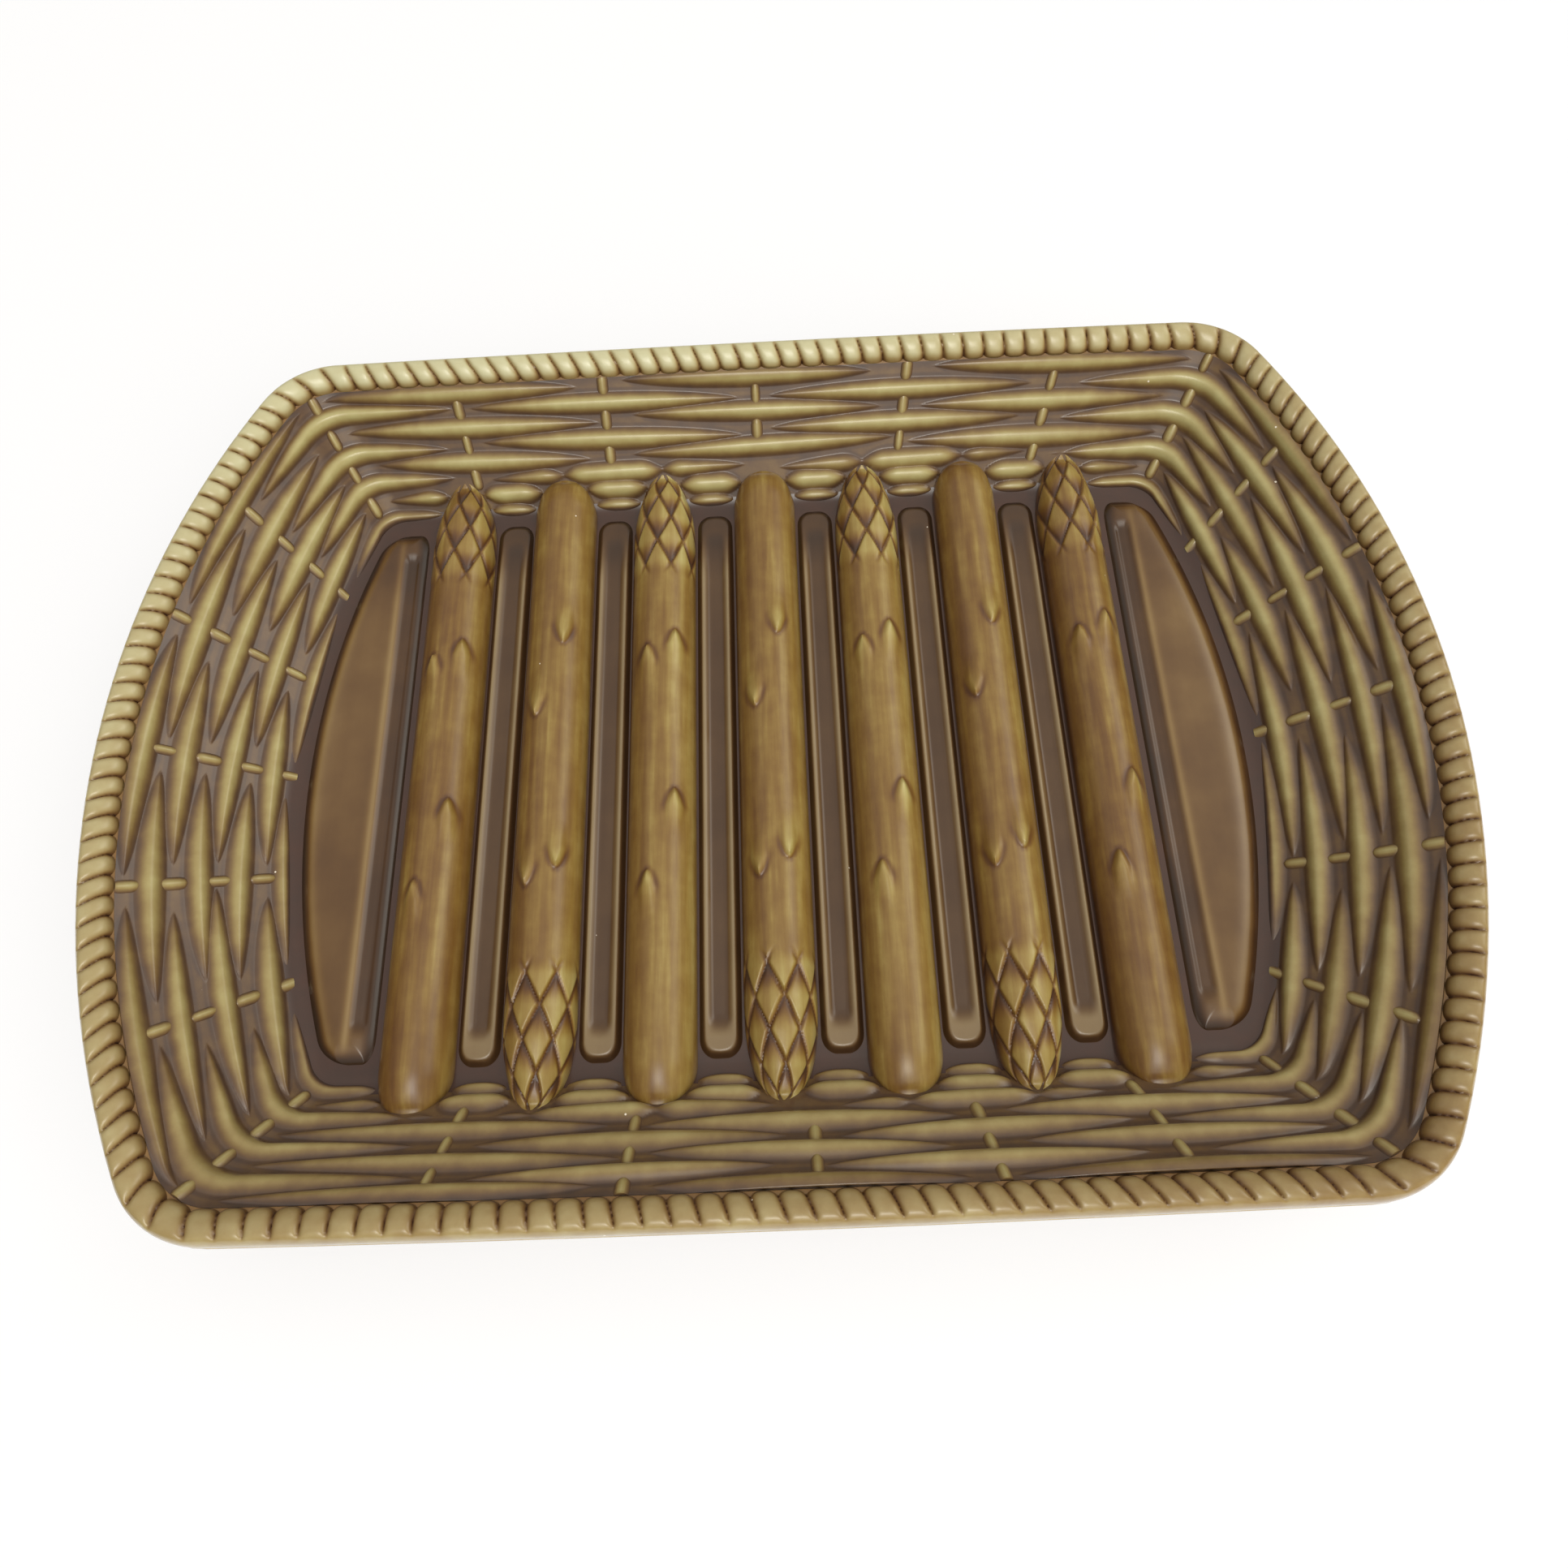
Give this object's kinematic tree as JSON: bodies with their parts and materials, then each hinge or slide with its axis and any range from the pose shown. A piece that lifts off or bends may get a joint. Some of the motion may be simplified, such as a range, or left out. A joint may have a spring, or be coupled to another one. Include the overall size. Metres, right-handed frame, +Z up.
{
  "type": "asparagus plate",
  "caption": "Shallow oblong earthenware asparagus plate with asparagus spears in relief on the floor, drain strips between them, a basket-weave wall and a rope rim.",
  "frame": {"origin": "centre of the foot ring's lower face, on the table", "axes": "+X along the plate's length, +Y to the far long side, +Z up out of the dish"},
  "size_m": [0.38, 0.271, 0.0415],
  "materials": {
    "dish_glaze": "glossy translucent olive-brown glaze over cream earthenware",
    "weave_glaze": "glossy olive-gold glaze, thin on the crests and brown where it pools",
    "rope_glaze": "glossy tan-gold glaze, thin on the lobes",
    "spear_glaze": "glossy streaked amber-brown glaze",
    "strip_glaze": "glossy brown glaze, pooled in the gutters",
    "bare_foot": "unglazed buff earthenware, wiped clean for firing"
  },
  "bodies": {
    "root": {"dish_shell": "dish_glaze", "foot_ring": "bare_foot", "rope_rim": "rope_glaze", "asparagus_spear_1": "spear_glaze", "asparagus_spear_2": "spear_glaze", "asparagus_spear_3": "spear_glaze", "asparagus_spear_4": "spear_glaze", "asparagus_spear_5": "spear_glaze", "asparagus_spear_6": "spear_glaze", "asparagus_spear_7": "spear_glaze", "drain_strip_1": "strip_glaze", "drain_strip_2": "strip_glaze", "drain_strip_3": "strip_glaze", "drain_strip_4": "strip_glaze", "drain_strip_5": "strip_glaze", "drain_strip_6": "strip_glaze", "end_panel_left": "strip_glaze", "end_panel_right": "strip_glaze", "weave_row_1": "weave_glaze", "weave_row_2": "weave_glaze", "weave_row_3": "weave_glaze", "weave_row_4": "weave_glaze", "weave_row_5": "weave_glaze", "weave_row_6": "weave_glaze", "weave_row_7": "weave_glaze", "weave_row_8": "weave_glaze", "stake_knots": "weave_glaze"}
  },
  "joints": []
}
